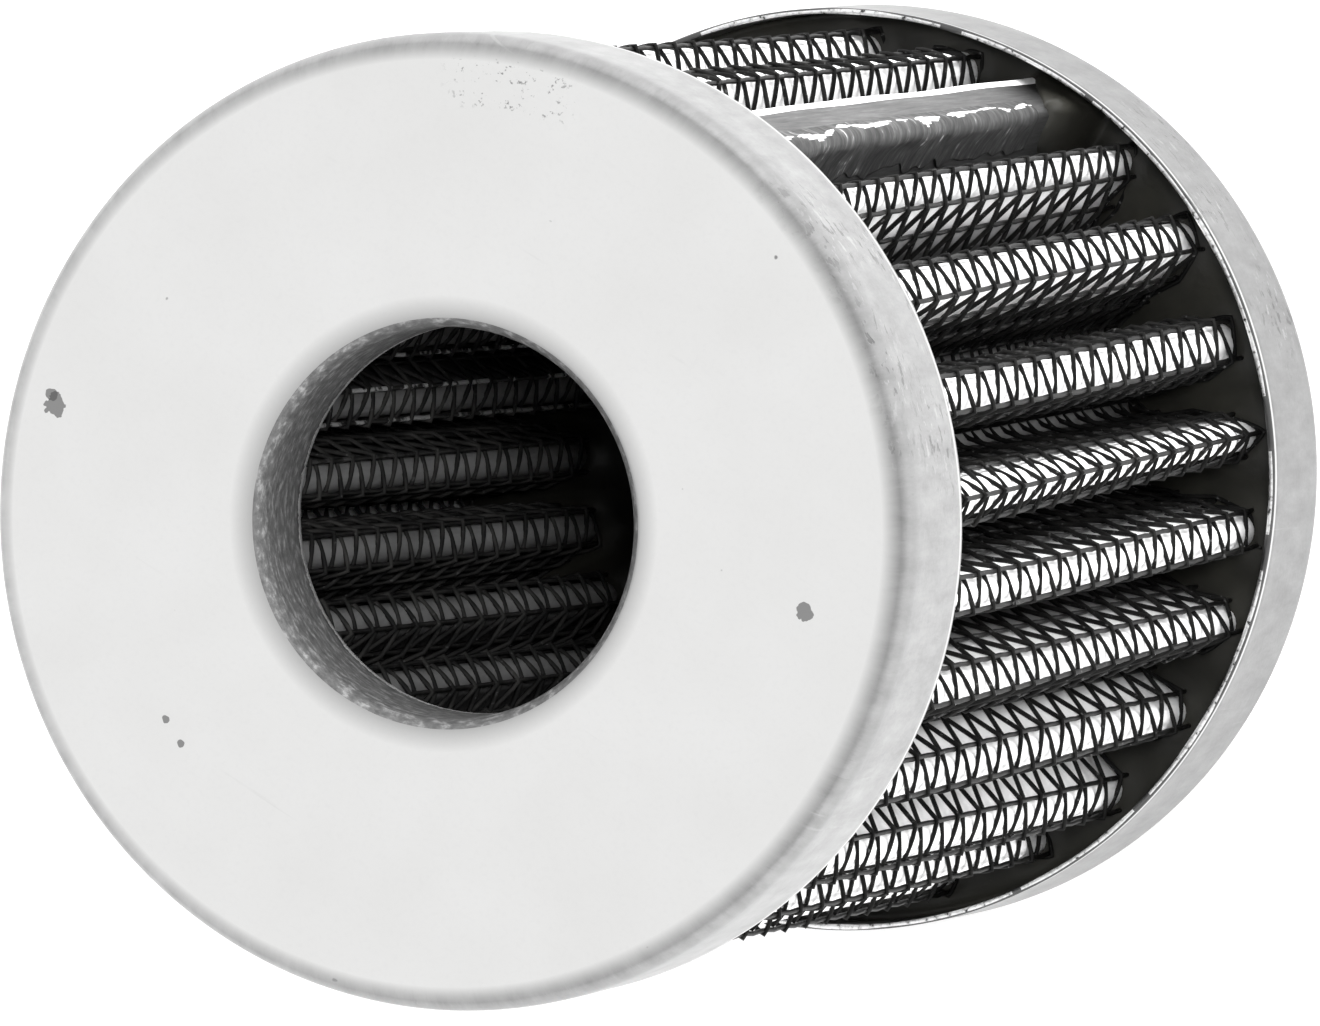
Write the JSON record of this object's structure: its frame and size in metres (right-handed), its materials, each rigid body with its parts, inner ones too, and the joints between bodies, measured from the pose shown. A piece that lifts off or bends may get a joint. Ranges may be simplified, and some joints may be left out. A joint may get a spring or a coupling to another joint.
{
  "type": "fuel filter element",
  "caption": "Cylindrical pleated fuel filter element: wire mesh pack potted between pressed metal end caps, each with a collared centre bore.",
  "frame": {"origin": "centre of the rear cap's face, on which the element stands", "axes": "+Z along the element's axis towards the front cap, with the side seam facing -Y"},
  "size_m": [0.045, 0.045, 0.062],
  "materials": {
    "cap_sheet": "bright tinned sheet, satin, lightly scuffed",
    "potting_adhesive": "cured black adhesive, semi-gloss",
    "coated_wire": "thin black coating on steel wire",
    "filter_media": "bright white fine fibre layer",
    "clip_sheet": "bare rolled sheet, brushed",
    "sealant": "cured sealant bead with smears"
  },
  "bodies": {
    "root": {"front_end_cap": "cap_sheet", "rear_end_cap": "cap_sheet", "front_potting": "potting_adhesive", "rear_potting": "potting_adhesive", "outer_support_mesh": "coated_wire", "filter_media": "filter_media", "inner_support_mesh": "coated_wire", "seam_clip": "clip_sheet", "seam_sealant": "sealant"}
  },
  "joints": []
}
